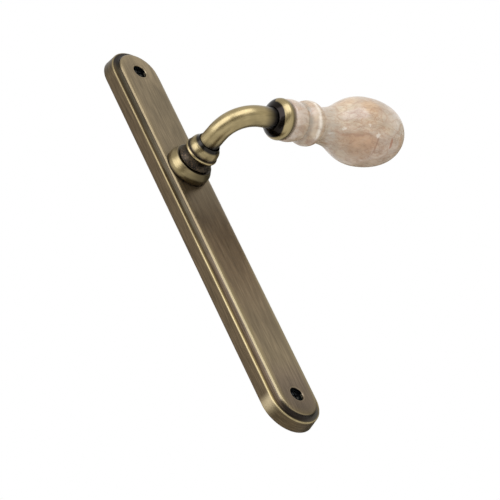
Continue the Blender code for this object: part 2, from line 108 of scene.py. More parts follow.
def make(name, verts, faces, sharp_deg=40.0):
    """An object from points in millimetres, with its faces turned outwards."""
    mesh = bpy.data.meshes.new(name)
    mesh.from_pydata([[c * MM for c in v] for v in verts], [], faces)
    bm = bmesh.new()
    bm.from_mesh(mesh)
    bmesh.ops.recalc_face_normals(bm, faces=bm.faces)
    bm.to_mesh(mesh)
    bm.free()
    smooth(mesh, sharp_deg)
    ob = bpy.data.objects.new(name, mesh)
    bpy.context.scene.collection.objects.link(ob)
    return ob


def spline(points, count=5):
    """A smooth run through the points, with count steps between each two."""
    out = []
    for i in range(len(points) - 1):
        p0 = points[max(i - 1, 0)]
        p1, p2 = points[i], points[i + 1]
        p3 = points[min(i + 2, len(points) - 1)]
        for k in range(count):
            t = k / count
            out.append(
                tuple(
                    0.5
                    * (
                        2.0 * b
                        + (c - a) * t
                        + (2.0 * a - 5.0 * b + 4.0 * c - d) * t * t
                        + (3.0 * b - a - 3.0 * c + d) * t * t * t
                    )
                    for a, b, c, d in zip(p0, p1, p2, p3)
                )
            )
    out.append(tuple(points[-1]))
    return out


def quarter(power, count):
    """Cosine and sine of a quarter turn, squared off as a superellipse is."""
    out = []
    for i in range(count + 1):
        a = math.radians(90.0 * i / count)
        out.append((abs(math.cos(a)) ** (2.0 / power), abs(math.sin(a)) ** (2.0 / power)))
    return out


def on_door(r, h, a, cz=0.0):
    """A point round an axis that stands square to the door."""
    return (r * math.cos(a), -h, cz + r * math.sin(a))


def door_at(z):
    """on_door, round an axis at another height on the plate."""
    return lambda r, h, a: on_door(r, h, a, z)


def on_grip(r, x, a):
    """A point round the grip's axis, which droops a little from square."""
    droop = math.radians(GRIP_DROOP_DEG)
    run = x - FERRULE_FRONT_X
    up = r * math.sin(a)
    return (
        FERRULE_FRONT_X + run * math.cos(droop) + up * math.sin(droop),
        -GRIP_H - r * math.cos(a),
        -run * math.sin(droop) + up * math.cos(droop),
    )


def turned(name, profile, place, closed=False, steps=112, sharp_deg=40.0):
    """The profile (radius, height) swept round; an open one ends on the axis."""
    clean = [profile[0]]
    for p in profile[1:]:
        if math.dist(p, clean[-1]) > 0.002:
            clean.append(p)
    if closed and math.dist(clean[0], clean[-1]) < 0.002:
        clean.pop()
    verts, rings = [], []
    for r, h in clean:
        if r < 0.001:
            rings.append([len(verts)] * steps)
            verts.append(place(0.0, h, 0.0))
        else:
            rings.append(list(range(len(verts), len(verts) + steps)))
            verts += [place(r, h, 2.0 * math.pi * k / steps) for k in range(steps)]
    if closed:
        rings.append(rings[0])
    faces = []
    for lower, upper in zip(rings, rings[1:]):
        for k in range(steps):
            j = (k + 1) % steps
            face = []
            for v in (lower[k], lower[j], upper[j], upper[k]):
                if v not in face:
                    face.append(v)
            if len(face) > 2:
                faces.append(face)
    return make(name, verts, faces, sharp_deg)


def cut(ob, cutter, operation="DIFFERENCE"):
    """The cutter taken from the object, or joined to it, and then deleted."""
    mod = ob.modifiers.new("cut", "BOOLEAN")
    mod.operation = operation
    mod.solver = "EXACT"
    mod.object = cutter
    bpy.context.view_layer.update()
    graph = bpy.context.evaluated_depsgraph_get()
    mesh = bpy.data.meshes.new_from_object(ob.evaluated_get(graph))
    ob.modifiers.clear()
    old = ob.data
    ob.data = mesh
    bpy.data.meshes.remove(old)
    bpy.data.objects.remove(cutter, do_unlink=True)


def box_at(name, size, centre):
    """A box of one size along each axis, round its centre."""
    verts = [
        tuple(c + side * s * 0.5 for c, s, side in zip(centre, size, (i, j, k)))
        for i in (-1, 1)
        for j in (-1, 1)
        for k in (-1, 1)
    ]
    faces = [(0, 1, 3, 2), (4, 6, 7, 5), (0, 4, 5, 1), (2, 3, 7, 6), (0, 2, 6, 4), (1, 5, 7, 3)]
    return make(name, verts, faces)


def plug(name, radius, outer, inner, place=on_door, steps=64):
    """A plain round bar between two heights."""
    profile = [(0.0, outer), (radius, outer), (radius, inner), (0.0, inner)]
    return turned(name, profile, place, steps=steps)


def lofted(name, rings):
    """A skin over rings that have as many points each, capped at both ends."""
    count = len(rings[0])
    verts = [point for ring in rings for point in ring]
    rows = [list(range(i * count, (i + 1) * count)) for i in range(len(rings))]
    faces = [rows[0], rows[-1]]
    for lower, upper in zip(rows, rows[1:]):
        for k in range(count):
            j = (k + 1) % count
            faces.append((lower[k], lower[j], upper[j], upper[k]))
    return make(name, verts, faces)


# ---- backplate --------------------------------------------------------------
def plate_ring(inset, h, count=40):
    """The plate's outline at one height, in from the rim."""
    radius = PLATE_WIDTH * 0.5 - inset
    points = []
    for side in (1.0, -1.0):
        for i in range(count + 1):
            a = math.pi * i / count + (0.0 if side > 0.0 else math.pi)
            z = PLATE_CENTRE_Z + side * PLATE_STRAIGHT + radius * math.sin(a)
            points.append((radius * math.cos(a), -h, z))
    return points


# the section as (inset, height): hollow, rear rim, wall, ledge, cove and upper tier
section = [(6.4, 7.7), (6.4, 5.6), (3.05, 5.6), (3.05, 0.0), (0.15, 0.0), (0.0, 0.2)]
section += [(0.38, 3.4), (0.76, 6.62)]
section += [(0.8, 6.85), (0.92, 7.02), (1.12, 7.12), (1.4, 7.15)]
section += [(2.4, 7.17), (3.1, 7.24), (3.6, 7.44), (3.95, 7.78), (4.12, 8.2), (4.2, 8.7)]
section += [(4.2, 9.1), (4.27, 9.4), (4.45, 9.65), (4.75, 9.83), (5.2, 9.94), (5.9, 10.02)]
section += [(7.0, 10.07), (8.6, 10.1)]
backplate = lofted("backplate_body", [plate_ring(inset, h) for inset, h in section])
for z in SCREW_Z.values():
    cut(backplate, plug("boss", SCREW_BOSS_R, BOSS_TOP_H, 0.0, door_at(z)), "UNION")
for z in (COVER_BOSS_Z, -COVER_BOSS_Z):
    boss = plug("boss", COVER_BOSS_R, BOSS_TOP_H, 2.42, door_at(z), steps=40)
    cut(backplate, boss, "UNION")
    cut(backplate, plug("tap", COVER_TAP_R, 7.2, 1.0, door_at(z), steps=28))
# a countersunk seat for the head, then a hole for the shank
hole_profile = [(0.0, 12.0), (5.0, 12.0), (4.5, 10.3), (4.22, 10.0), (4.0, 9.72), (4.0, 6.0)]
hole_profile += [(2.4, 6.0), (2.4, -3.0), (0.0, -3.0)]
for z in SCREW_Z.values():
    cut(backplate, turned("hole", hole_profile, door_at(z), steps=64))
cut(backplate, plug("bore", BORE_R, 16.0, -4.0, steps=112))
smooth(backplate.data, 32.0)

# ---- collar and neck --------------------------------------------------------
collar_profile = [(8.85, 17.0), (10.2, 17.0)]
collar_profile += spline(
    [(10.2, 17.0), (10.6, 16.9), (10.9, 16.6), (11.13, 16.1), (11.4, 15.55), (11.72, 14.98)]
    + [(12.03, 14.45), (12.27, 13.95), (12.43, 13.36), (12.48, 12.75)],
    4,
)
collar_profile += [(12.48, 10.42), (9.8, 10.42), (9.8, 7.8), (8.85, 7.8)]
collar = turned("collar_body", collar_profile, on_door, closed=True)

dome = [(6.35, 31.3), (6.5, 31.12), (6.75, 30.45), (7.1, 29.8), (7.6, 29.25), (8.05, 28.7)]
belt = [(8.05, 28.7), (8.38, 28.0), (8.62, 27.0), (8.8, 26.0), (8.88, 25.4), (8.78, 25.05)]
belt += [(8.55, 24.85)]
neck_bead = [(8.55, 24.75), (8.82, 24.58), (9.2, 24.38), (9.45, 24.0), (9.48, 23.6)]
neck_bead += [(9.28, 23.12), (8.95, 22.8)]
hollow = [(8.95, 22.8), (8.8, 22.0), (8.75, 21.0), (8.9, 20.0), (9.2, 19.0), (9.7, 18.1)]
neck_profile = [(0.0, 21.4), (6.35, 21.4), (6.35, 31.3)]
for stretch in (dome, belt, neck_bead, hollow):
    neck_profile += spline(stretch)
# the shaft behind it, with the circlip's groove
neck_profile += [(9.65, 18.05), (7.3, 18.05), (7.3, 3.5), (6.75, 3.5), (6.75, 2.2), (7.3, 2.2)]
neck_profile += [(7.3, 1.5), (0.0, 1.5)]
neck = turned("neck_body", neck_profile, on_door)
cut(neck, box_at("socket", (SOCKET_WIDTH, 24.0, SOCKET_WIDTH), (0.0, -7.2, 0.0)))
for side in (-1.0, 1.0):
    cut(neck, box_at("flat", (4.0, 6.8, 20.0), (side * 8.65, -2.2, 0.0)))
smooth(neck.data)

# ---- lever arm --------------------------------------------------------------
path = [(-ROD_LEAN, h) for h in (21.8, 26.0, 30.0, 34.5)]
for cosine, sine in quarter(BEND_POWER, BEND_STEPS):
    x = (BEND_REACH + ROD_LEAN) * (1.0 - cosine) - ROD_LEAN
    path.append((x, BEND_START_H + (GRIP_H - BEND_START_H) * sine))
path += [(x, GRIP_H) for x in (21.5, 24.5, 30.6)]
rings = []
for i, (x, h) in enumerate(path):
    x0, h0 = path[max(i - 1, 0)]
    x1, h1 = path[min(i + 1, len(path) - 1)]
    run = math.hypot(x1 - x0, h1 - h0)
    tx, th = (x1 - x0) / run, (h1 - h0) / run
    ring = []
    for k in range(ROD_SIDES):
        a = 2.0 * math.pi * k / ROD_SIDES
        side, up = ROD_R * math.cos(a), ROD_R * math.sin(a)
        ring.append((x + th * side, -(h - tx * side), up))
    rings.append(ring)
arm = lofted("arm_body", rings)
cut(arm, plug("stud_hole", STUD_HOLE_R, 21.0, 40.0, on_grip, steps=40))
smooth(arm.data)

# ---- ferrule and stone, as (radius, x) along the grip's axis ----------------
ferrule_profile = [(3.4, 32.8), (10.5, 32.8)]
ferrule_profile += spline(
    [(10.5, 32.8), (11.0, 32.3), (11.2, 31.6), (11.25, 30.9), (11.15, 30.1), (10.85, 29.3)]
    + [(10.3, 28.5), (9.55, 27.7), (8.65, 27.0), (7.7, 26.4), (7.0, 26.0), (6.3, 25.68)],
    4,
)
ferrule_profile += [(6.05, 25.65), (6.05, 30.95), (3.4, 30.95)]
ferrule = turned("ferrule_body", ferrule_profile, on_grip, closed=True)

bulb = []
for cosine, sine in quarter(BULB_POWER, BULB_STEPS):
    bulb.append((BULB_R * sine, BULB_X + (BULB_END_X - BULB_X) * cosine))
shank = [(19.0, 90.0), (18.85, 87.4), (18.45, 84.9), (17.85, 82.5), (16.95, 80.0), (15.85, 77.6)]
shank += [(14.6, 75.1), (13.3, 72.6), (12.1, 70.0), (11.15, 67.4), (10.5, 64.9), (10.1, 62.4)]
shank += [(9.9, 60.2), (9.95, 58.4), (10.35, 56.6), (10.54, 55.41)]
bead = []
for i in range(25):
    a = math.radians(32.0 + 112.0 * i / 24)
    bead.append((8.55 + 3.75 * math.sin(a), 50.75 + 5.5 * math.cos(a)))
foot = [bead[-1], (10.15, 44.9), (10.05, 44.2), (10.45, 43.2), (10.8, 41.6), (11.15, 39.9)]
foot += [(11.38, 38.0), (11.4, 36.6), (11.25, 35.2), (10.95, 34.35)]
stone_profile = bulb + spline(shank, 4) + bead + spline(foot, 4)
stone_profile += [(10.7, 34.12), (STONE_BORE_R, 34.12), (STONE_BORE_R, 90.0), (0.0, 90.0)]
stone = turned("stone_body", stone_profile, on_grip, steps=128, sharp_deg=50.0)

# ---- fixing screws ----------------------------------------------------------
screws = {}
for label, z in SCREW_Z.items():
    profile = spline([(0.0, 8.45), (1.5, 8.35), (2.8, 7.95), (3.6, 7.25)], 4)
    profile += [(3.62, 6.9), (2.7, 6.32), (SCREW_R, 5.6), (SCREW_R, 1.2)]
    for i in range(4):
        top = 0.8 - i * THREAD_PITCH
        profile += [(1.5, top), (SCREW_R, top - 0.6), (1.5, top - 1.3)]
    profile += [(1.4, -6.2), (0.0, -8.4)]
    ob = turned("screw_" + label, profile, door_at(z), steps=40)
    for size in ((5.2, 4.0, 1.0), (1.0, 4.0, 5.2)):
        cut(ob, box_at("slot", size, (0.0, -9.2, z)))
    smooth(ob.data)
    screws[label] = ob

# ---- return spring, drawn at rest; in use its foot turns with the cam and its far leg stays put ------
wire_path = [(SPRING_R0, SPRING_FOOT_H, 0.0), (SPRING_R0, SPRING_H0 - 0.3, 0.0)]
for i in range(1, COIL_STEPS + 1):
    t = i / COIL_STEPS
    a = 2.0 * math.pi * SPRING_TURNS * t
    r = SPRING_R0 + (SPRING_R1 - SPRING_R0) * t
    h = SPRING_H0 + (SPRING_H1 - SPRING_H0) * t
    wire_path.append((r * math.cos(a), h, r * math.sin(a)))
wire_path += [(8.1, 7.15, 1.2), (8.0, 7.3, 2.6), (7.4, 7.3, 6.4), (6.3, 7.3, 10.2)]
wire_path += [(5.6, 7.3, 12.6), (5.6, 7.3, 17.5)]
rings = []
points = [Vector((x, -h, z)) for x, h, z in wire_path]
for i, point in enumerate(points):
    run = (points[min(i + 1, len(points) - 1)] - points[max(i - 1, 0)]).normalized()
    # across the wire, towards the turning axis, and square to both
    inward = Vector((-point.x, 0.0, -point.z))
    inward = (inward - run * inward.dot(run)).normalized()
    over = run.cross(inward)
    ring = []
    for k in range(WIRE_SIDES):
        a = 2.0 * math.pi * k / WIRE_SIDES
        ring.append(tuple(point + (inward * math.cos(a) + over * math.sin(a)) * SPRING_WIRE_R))
    rings.append(ring)
spring = lofted("return_spring_wire", rings)


# ---- materials --------------------------------------------------------------
# metres
BUMP_DEPTH = 0.0001


class Finish:
    """A procedural node material; lengths in its masks are in millimetres."""

    def __init__(self, name, rough=0.35, metallic=1.0):
        self.mat = bpy.data.materials.new(name)
        self.mat.use_nodes = True
        self.tree = self.mat.node_tree
        self.bsdf = self.tree.nodes["Principled BSDF"]
        self.bsdf.inputs["Metallic"].default_value = metallic
        self.bsdf.inputs["Roughness"].default_value = rough
        coord = self.tree.nodes.new("ShaderNodeTexCoord")
        scale = self.tree.nodes.new("ShaderNodeVectorMath")
        scale.operation = "SCALE"
        scale.inputs["Scale"].default_value = 1.0 / MM
        self.tree.links.new(coord.outputs["Object"], scale.inputs[0])
        self.pos = scale.outputs[0]
        split = self.tree.nodes.new("ShaderNodeSeparateXYZ")
        self.tree.links.new(self.pos, split.inputs[0])
        self.x, self.y, self.z = split.outputs
        self.h = self.math("MULTIPLY", self.y, -1.0)

    def put(self, value, socket):
        """A node's output linked to the socket, or a plain value written into it."""
        if isinstance(value, bpy.types.NodeSocket):
            self.tree.links.new(value, socket)
        elif isinstance(value, (tuple, list)):
            socket.default_value = (*value, 1.0) if len(socket.default_value) == 4 else value
        else:
            socket.default_value = value

    def math(self, op, a, b=0.0, clamp=False):
        node = self.tree.nodes.new("ShaderNodeMath")
        node.operation = op
        node.use_clamp = clamp
        self.put(a, node.inputs[0])
        self.put(b, node.inputs[1])
        return node.outputs[0]

    def add(self, a, b):
        return self.math("ADD", a, b)

    def sub(self, a, b):
        return self.math("SUBTRACT", a, b)

    def mul(self, a, b):
        return self.math("MULTIPLY", a, b)

    def radius(self, a, b):
        """How far a point is off an axis that it misses by a and b."""
        return self.math("SQRT", self.add(self.mul(a, a), self.mul(b, b)))

    def step(self, value, lo, hi, out_lo=0.0, out_hi=1.0):
        """Runs smoothly from out_lo at lo to out_hi at hi."""
        node = self.tree.nodes.new("ShaderNodeMapRange")
        node.interpolation_type = "SMOOTHSTEP"
        node.inputs["From Min"].default_value = min(lo, hi)
        node.inputs["From Max"].default_value = max(lo, hi)
        node.inputs["To Min"].default_value = out_lo if lo < hi else out_hi
        node.inputs["To Max"].default_value = out_hi if lo < hi else out_lo
        self.put(value, node.inputs["Value"])
        return node.outputs["Result"]

    def band(self, value, lo, hi, soft):
        """1 between lo and hi, falling to 0 over soft on both sides."""
        return self.mul(
            self.step(value, lo - soft, lo + soft), self.step(value, hi + soft, hi - soft)
        )

    def blob(self, centre, radii, soft=1.0):
        """1 inside an ellipsoid, falling to 0 at its skin over the soft share of its radii."""
        move = self.tree.nodes.new("ShaderNodeVectorMath")
        move.operation = "SUBTRACT"
        self.put(self.pos, move.inputs[0])
        move.inputs[1].default_value = centre
        size = self.tree.nodes.new("ShaderNodeVectorMath")
        size.operation = "DIVIDE"
        self.tree.links.new(move.outputs[0], size.inputs[0])
        size.inputs[1].default_value = radii
        length = self.tree.nodes.new("ShaderNodeVectorMath")
        length.operation = "LENGTH"
        self.tree.links.new(size.outputs[0], length.inputs[0])
        return self.step(length.outputs["Value"], 1.0, 1.0 - soft)

    def noise(
        self, stretch=(1.0, 1.0, 1.0), scale=1.0, detail=3.0, rough=0.5, offset=0.0, distort=0.0
    ):
        """Cloudy noise from 0 to 1; the offset moves it to another place."""
        where = self.tree.nodes.new("ShaderNodeVectorMath")
        where.operation = "MULTIPLY_ADD"
        self.put(self.pos, where.inputs[0])
        where.inputs[1].default_value = stretch
        where.inputs[2].default_value = (offset, offset * 0.7, offset * 1.3)
        node = self.tree.nodes.new("ShaderNodeTexNoise")
        node.inputs["Scale"].default_value = scale
        node.inputs["Detail"].default_value = detail
        node.inputs["Roughness"].default_value = rough
        node.inputs["Distortion"].default_value = distort
        self.tree.links.new(where.outputs[0], node.inputs["Vector"])
        return node.outputs["Fac"]

    def ring_noise(self, height, angle_scale, height_scale, angle):
        """Fine turned lines: noise that changes fast along the axis, slowly round it."""
        join = self.tree.nodes.new("ShaderNodeCombineXYZ")
        self.put(self.mul(height, height_scale), join.inputs[0])
        self.put(self.mul(angle, angle_scale), join.inputs[1])
        node = self.tree.nodes.new("ShaderNodeTexNoise")
        node.inputs["Scale"].default_value = 1.0
        node.inputs["Detail"].default_value = 2.0
        self.tree.links.new(join.outputs[0], node.inputs["Vector"])
        return node.outputs["Fac"]

    def mix(self, fac, a, b):
        """Colour a where fac is 0 and colour b where it is 1."""
        node = self.tree.nodes.new("ShaderNodeMix")
        node.data_type = "RGBA"
        # of its many sockets 6, 7 and output 2 are the ones for colours
        self.put(fac, node.inputs[0])
        self.put(a, node.inputs[6])
        self.put(b, node.inputs[7])
        return node.outputs[2]

    def bright(self, colour, factor):
        """The colour times a factor that varies over the piece."""
        node = self.tree.nodes.new("ShaderNodeVectorMath")
        node.operation = "SCALE"
        self.put(colour, node.inputs[0])
        self.put(factor, node.inputs["Scale"])
        return node.outputs[0]

    def curve(self, value, stops, lo, hi):
        """A value read off a run of (place, value) stops between lo and hi."""
        ramp = self.tree.nodes.new("ShaderNodeValToRGB")
        ramp.color_ramp.interpolation = "EASE"
        span = hi - lo
        elements = ramp.color_ramp.elements
        for i, (place, grey) in enumerate(stops):
            at = (place - lo) / span
            # a new ramp has two elements already
            element = elements[i] if i < 2 else elements.new(at)
            element.position = at
            element.color = (grey, grey, grey, 1.0)
        self.put(self.math("DIVIDE", self.sub(value, lo), span, clamp=True), ramp.inputs[0])
        return ramp.outputs[0]

    def bump(self, height, strength):
        """Fine relief that only shading shows."""
        node = self.tree.nodes.new("ShaderNodeBump")
        node.inputs["Strength"].default_value = strength
        node.inputs["Distance"].default_value = BUMP_DEPTH
        self.put(height, node.inputs["Height"])
        self.tree.links.new(node.outputs[0], self.bsdf.inputs["Normal"])

    def colour(self, value):
        self.put(value, self.bsdf.inputs["Base Color"])

    def rough(self, value):
        self.put(value, self.bsdf.inputs["Roughness"])


CREAM = (0.40, 0.33, 0.21)
GOLD = (0.295, 0.230, 0.113)
KHAKI = (0.208, 0.160, 0.094)
BROWN = (0.062, 0.045, 0.027)
BLACK = (0.016, 0.013, 0.011)
WORN_AND_HIGHLIT = (0.19, 0.148, 0.080)
# how light the plate's face is painted, by height: painted reflection and shade
PLATE_PAINTED_REFLECTION = (
    (-166, 0.22), (-148, 0.315), (-126, 0.52), (-100, 0.50), (-60, 0.42),
    (-22, 0.385), (16, 0.50), (50, 0.485), (84, 0.71),
)


def plate_places(f):
    """The masks and the grain that the zones of the plate share."""
    past = f.sub(f.math("ABSOLUTE", f.sub(f.z, PLATE_CENTRE_Z)), PLATE_STRAIGHT)
    spine = f.radius(f.x, f.math("MAXIMUM", past, 0.0))
    return SimpleNamespace(
        past=past,
        inset=f.sub(PLATE_WIDTH * 0.5, spine),
        straight=f.step(past, 7.0, 1.0),
        low=f.step(f.z, -35.0, -75.0),
        streak=f.noise((1.0, 0.4, 0.028), 2.3, 4.0, 0.62),
        fine=f.noise((1.0, 0.5, 0.016), 7.5, 3.0, 0.6, 11.0),
        patch=f.noise((1.0, 1.0, 0.12), 0.5, 3.0, 0.6, 5.0),
    )


def plate_face(f, at):
    """The upper tier: khaki and streaked, painted lighter and darker by height as reflection,
    with a painted highlight along its edges and a rubbed edge that carries a painted highlight
    too, broad in the lower half.
    """
    cloud = f.noise((1.0, 1.0, 0.35), 0.11, 3.0, 0.55, 31.0)
    # painted reflection and shade: light at the top, darker round the neck and at the bottom end
    tone = f.curve(f.z, PLATE_PAINTED_REFLECTION, -166, 85)
    tone = f.mul(tone, f.step(at.streak, 0.25, 0.75, 1.25, 2.35))
    tone = f.mul(tone, f.step(at.fine, 0.3, 0.7, 0.86, 1.14))
    tone = f.mul(tone, f.step(cloud, 0.3, 0.7, 0.86, 1.12))
    low_end = f.bright((0.238, 0.178, 0.116), tone)
    middle = f.bright((0.215, 0.145, 0.082), tone)
    face = f.mix(f.step(f.z, -124.0, -142.0), f.bright(KHAKI, tone), low_end)
    face = f.mix(f.mul(f.band(f.z, -95.0, -25.0, 30.0), 0.5), face, middle)
    wide = f.mul(at.low, at.straight)
    # painted highlight: gold along both edges of the face, wider and stronger in the lower half
    painted_edge_highlight = f.mul(f.step(at.inset, 8.6, 4.8), f.add(f.mul(wide, 0.26), 0.16))
    face = f.mix(painted_edge_highlight, face, GOLD)
    face = f.mix(f.mul(f.mul(f.step(at.inset, 6.7, 4.7), wide), 0.6), face, GOLD)
    # the rubbed edge: real wear with a painted highlight on it, wider in the lower half
    reach = f.add(4.5, f.mul(wide, 0.75))
    worn_and_highlit_edge = f.mul(f.step(f.sub(at.inset, reach), 0.5, -0.2), f.step(f.h, 9.15, 9.5))
    rubbed_and_highlit = f.mix(wide, WORN_AND_HIGHLIT, (0.212, 0.172, 0.096))
    return f.mix(f.mul(worn_and_highlit_edge, f.step(at.streak, 0.2, 0.6, 0.62, 1.0)), face, rubbed_and_highlit)


def plate_ledge(f, at):
    """The lower tier's ledge and the side of the upper tier, darker towards the top, with
    painted highlights in the lower half and a painted dark reflection, near black, at the ends.
    """
    root = f.step(at.inset, 2.6, 3.3)
    side = f.step(f.h, 7.8, 8.5)
    upper = f.mix(root, (0.100, 0.070, 0.034), (0.042, 0.034, 0.020))
    upper = f.mix(side, upper, (0.068, 0.053, 0.033))
    upper = f.bright(upper, f.step(f.z, -5.0, 50.0, 1.15, 0.72))
    # lower half: painted highlights next to the rim and along the top of the step
    lower = f.mix(f.step(at.inset, 1.7, 2.6), (0.280, 0.210, 0.088), (0.105, 0.070, 0.038))
    lower = f.mix(root, lower, (0.052, 0.036, 0.021))
    lower = f.mix(side, lower, (0.088, 0.067, 0.045))
    lower = f.mix(f.step(f.h, 8.4, 9.1), lower, (0.165, 0.135, 0.092))
    ledge = f.bright(f.mix(at.low, upper, lower), f.step(at.patch, 0.35, 0.7, 1.15, 0.8))
    # painted reflection: near black round the ends, where the ledge reflects dark
    dark = f.mix(f.step(f.x, -6.0, 14.0), BLACK, (0.052, 0.050, 0.042))
    return f.mix(f.mul(f.step(at.past, 2.0, 9.0), 0.88), ledge, dark)


def plate_wall(f, at):
    """The lower tier's wall: grained at the sides and brushed round the ends."""
    grain = f.noise((1.0, 1.0, 0.05), 1.6, 4.0, 0.6, 3.0)
    wall = f.bright((0.053, 0.0375, 0.0200), f.step(grain, 0.3, 0.7, 0.82, 1.4))
    along = f.noise((0.07, 1.3, 0.07), 1.9, 4.0, 0.6, 29.0)
    brushed = f.bright((0.079, 0.057, 0.030), f.step(along, 0.3, 0.7, 0.62, 1.4))
    wall = f.mix(f.step(at.past, -6.0, 6.0), wall, brushed)
    # a painted highlight at the lower left corner, where the wall reflects a light
    left = f.mul(f.step(f.x, -9.0, -12.5), f.step(f.h, 0.0, 4.0, 0.75, 1.0))
    corner_highlight = f.mul(f.band(f.z, -155.0, -147.0, 2.8), left)
    return f.mix(f.mul(corner_highlight, 0.85), wall, (0.26, 0.205, 0.115))


def plate_holes(f, at, colour):
    """The colour with the screw holes added: painted shade inside with painted glints, a worn
    edge with a painted highlight round each, and a faint brown ring outside it.
    """
    # painted shade inside the holes, with painted blue-green glints
    inner = f.mix(f.step(at.patch, 0.45, 0.65), (0.012, 0.013, 0.013), (0.045, 0.053, 0.052))
    for z in SCREW_Z.values():
        dz = f.sub(f.z, z)
        r = f.radius(f.x, dz)
        # a painted glint on the far wall of each hole
        spot = f.mul(f.step(f.x, 2.2, 3.4), f.band(dz, -1.4, 0.6, 0.5))
        inside = f.mix(f.mul(f.step(f.h, 8.1, 8.8), spot), inner, CREAM)
        colour = f.mix(f.mul(f.band(r, 4.9, 5.6, 0.35), 0.3), colour, (0.12, 0.080, 0.05))
        # a worn edge with a painted highlight round each hole
        colour = f.mix(f.mul(f.band(r, 4.25, 4.6, 0.2), 0.45), colour, (0.30, 0.24, 0.15))
        colour = f.mix(f.mul(f.step(r, 4.25, 4.05), f.step(f.h, 9.95, 9.6)), colour, inside)
    return colour


def plate_finish():
    """Face, ledge, wall, rear and screw holes, each in its own zone of the plate."""
    f = Finish("antique_brass_plate", 0.33)
    at = plate_places(f)
    on_face = f.mul(f.step(at.inset, 3.95, 4.2), f.step(f.h, 9.05, 9.4))
    colour = f.mix(on_face, plate_ledge(f, at), plate_face(f, at))
    on_wall = f.mul(f.step(at.inset, 1.0, 0.85), f.step(f.h, 7.1, 6.9))
    colour = f.mix(on_wall, colour, plate_wall(f, at))
    # the bright line between the wall and the ledge: a worn edge with a painted highlight,
    # brighter in the lower half
    rim = f.mul(f.band(at.inset, 0.74, 1.42, 0.12), f.step(f.h, 6.3, 6.8))
    rim_highlight = f.mix(at.low, (0.255, 0.198, 0.098), (0.36, 0.288, 0.148))
    colour = f.mix(f.mul(rim, f.step(at.patch, 0.3, 0.6, 0.95, 0.7)), colour, rim_highlight)
    # the rim at the door and the hollow are as cast
    cloud = f.noise(scale=0.45, detail=4.0, rough=0.6, offset=19.0)
    cast = f.mix(f.step(cloud, 0.3, 0.7), (0.085, 0.062, 0.034), (0.150, 0.114, 0.064))
    rear = f.mul(f.step(at.inset, 1.3, 1.7), f.step(f.h, 7.0, 6.7))
    rear = f.math("MAXIMUM", rear, f.mul(f.step(at.inset, 4.6, 5.0), f.step(f.h, 9.2, 8.8)))
    colour = f.mix(rear, colour, cast)
    f.colour(plate_holes(f, at, colour))
    rough = f.add(f.step(at.streak, 0.3, 0.7, 0.30, 0.40), f.mul(f.step(f.h, 9.0, 8.0), 0.06))
    f.rough(f.add(rough, f.mul(rear, 0.15)))
    f.bump(f.add(f.mul(at.fine, 0.6), f.mul(at.streak, 0.4)), 0.16)
    return f.mat


def door_angle(f):
    """The angle round the lever's turning axis."""
    return f.math("ARCTAN2", f.z, f.x)


def collar_finish():
    """Brushed gold with a dark top, where it nears the neck, and painted shade towards the grip
    and downwards.
    """
    f = Finish("antique_brass_collar", 0.33)
    lines = f.ring_noise(f.h, 1.2, 4.0, door_angle(f))
    cloud = f.noise(scale=0.16, detail=3.0, offset=17.0)
    tone = f.mul(f.step(lines, 0.25, 0.75, 0.72, 0.92), f.step(cloud, 0.3, 0.7, 0.88, 1.08))
    # painted shade: darker towards the grip and downwards, where the collar reflects dark
    painted_shade_away = f.mul(f.sub(f.mul(f.x, 0.45), f.mul(f.z, 0.9)), 0.08)
    colour = f.bright(f.bright(GOLD, tone), f.step(painted_shade_away, -0.15, 0.9, 1.0, 0.4))
    colour = f.mix(f.step(f.h, 12.0, 10.5), colour, BROWN)
    top = f.mul(f.step(f.h, 16.7, 16.98), 0.85)
    f.colour(f.mix(top, colour, (0.030, 0.024, 0.018)))
    f.bump(lines, 0.1)
    return f.mat


def neck_finish():
    """A gold bead and belt between the black hollow and dome, the belt with painted shade on its
    lower part.
    """
    f = Finish("antique_brass_neck", 0.28)
    lines = f.ring_noise(f.h, 1.0, 5.0, door_angle(f))
    cloud = f.noise(scale=0.2, detail=3.0, offset=23.0)
    tone = f.mul(f.step(lines, 0.25, 0.75, 0.8, 1.15), f.step(cloud, 0.3, 0.7, 0.8, 1.12))
    # painted reflection: the bead painted lighter than the belt
    gold = f.bright(f.bright(GOLD, tone), f.step(f.h, 24.4, 25.2, 1.3, 0.86))
    fleck = f.noise((1.0, 1.0, 1.0), 1.1, 3.0, 0.6, 37.0)
    dark = f.mix(f.step(cloud, 0.35, 0.65), (0.014, 0.012, 0.010), (0.048, 0.037, 0.024))
    dark = f.mix(f.mul(f.step(fleck, 0.50, 0.66), 0.7), dark, (0.105, 0.07, 0.04))
    dark = f.mix(f.step(f.h, 27.2, 28.0), dark, (0.021, 0.019, 0.016))
    on_bead = f.band(f.h, 22.95, 24.35, 0.22)
    # painted shade: the belt fades in from dark along its lower part
    on_belt = f.mul(f.step(f.h, 25.3, 27.3), f.step(f.h, 29.9, 29.0))
    f.colour(f.mix(f.math("MAXIMUM", on_bead, on_belt), dark, gold))
    f.rough(f.add(f.step(f.h, 22.4, 23.0, 0.42, 0.29), f.step(f.h, 28.3, 29.2, 0.0, -0.06)))
    f.bump(lines, 0.08)
    return f.mat


def arm_finish():
    """Gold, and black where the bar leaves the neck and enters the ferrule."""
    f = Finish("antique_brass_arm", 0.24)
    streak = f.noise((0.12, 0.12, 1.0), 1.3, 4.0, 0.6, 7.0)
    cloud = f.noise(scale=0.1, detail=3.0, offset=13.0)
    tone = f.mul(f.step(streak, 0.3, 0.7, 0.88, 1.1), f.step(cloud, 0.3, 0.7, 0.82, 1.12))
    sink = f.sub(f.h, f.mul(f.sub(f.x, f.mul(f.z, 0.6)), 0.5))
    foot = f.step(sink, 36.6, 31.0)
    tip = f.step(f.add(f.x, f.mul(f.sub(cloud, 0.5), 2.0)), 15.5, 24.5)
    colour = f.mix(foot, f.bright(GOLD, tone), (0.024, 0.02, 0.016))
    f.colour(f.mix(tip, colour, BLACK))
    f.rough(f.step(cloud, 0.3, 0.7, 0.295, 0.345))
    return f.mat


